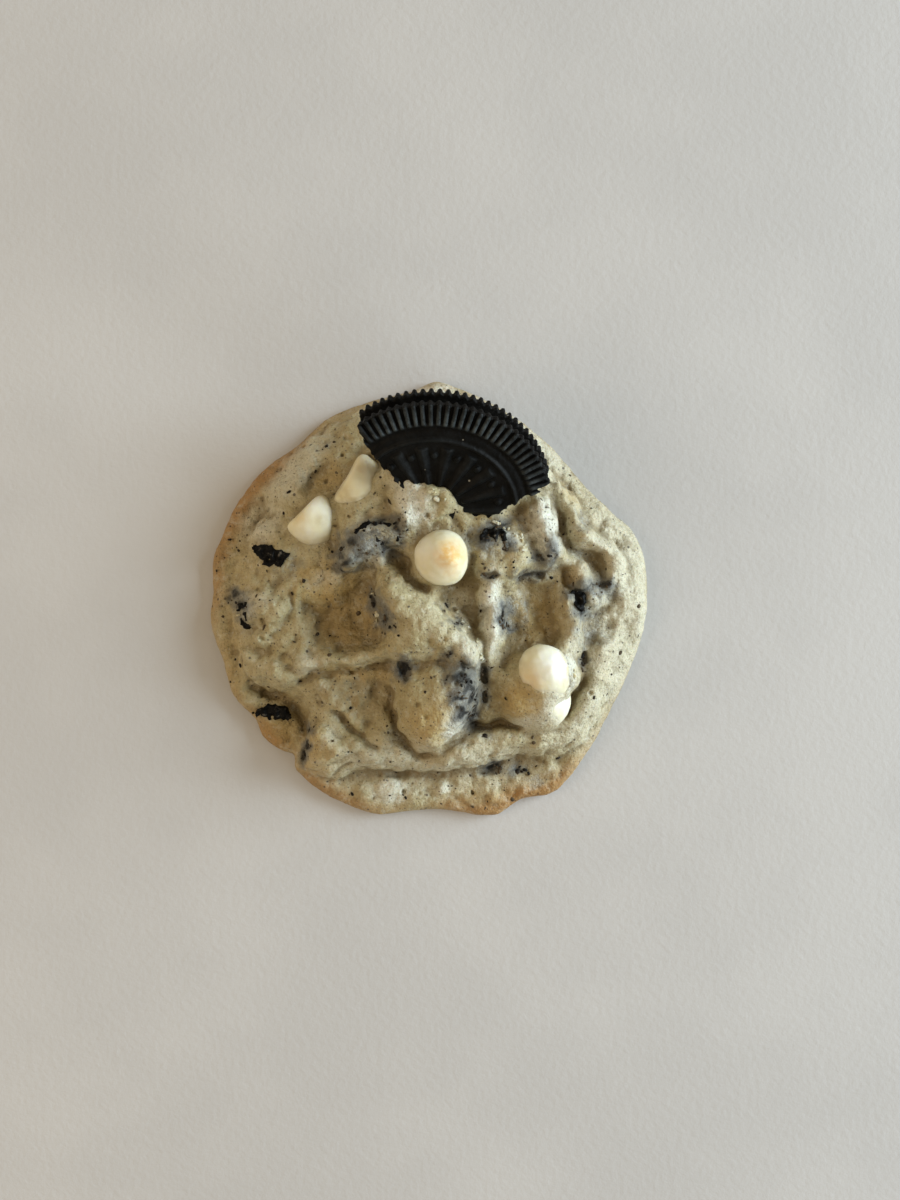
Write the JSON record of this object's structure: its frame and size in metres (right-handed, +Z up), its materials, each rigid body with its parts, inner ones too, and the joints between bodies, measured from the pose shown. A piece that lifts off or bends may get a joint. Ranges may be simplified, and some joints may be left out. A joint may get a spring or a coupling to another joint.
{
  "type": "cookies and cream cookie",
  "caption": "Thick soft cookie with white chips, dark biscuit chunks and a broken sandwich biscuit standing in its top.",
  "frame": {"origin": "on the table under the middle of the cookie's box", "axes": "+Z up; +Y towards the side where the sandwich biscuit stands; the picture is seen from above with +X to its right"},
  "size_m": [0.087, 0.0864, 0.0296],
  "materials": {
    "dough": "soft baked dough with fine dark specks, browned towards the rim",
    "white_chip": "smooth, faintly waxy, a little toasted",
    "dark_biscuit": "dry, fine grained, nearly black",
    "cream": "dense, smooth and pale"
  },
  "bodies": {
    "root": {"dough": "dough", "wafer_front": "dark_biscuit", "wafer_back": "dark_biscuit", "cream_filling": "cream", "white_chip_centre": "white_chip", "white_chip_left": "white_chip", "white_chip_tall": "white_chip", "white_chip_right": "white_chip", "white_chip_low_right": "white_chip", "biscuit_chunk_left": "dark_biscuit", "biscuit_chunk_upper": "dark_biscuit", "biscuit_chunk_edge": "dark_biscuit", "biscuit_chunk_speckled": "dark_biscuit", "biscuit_chunk_top": "dark_biscuit", "biscuit_chunk_right": "dark_biscuit", "biscuit_chunk_lump": "dark_biscuit"}
  },
  "joints": []
}
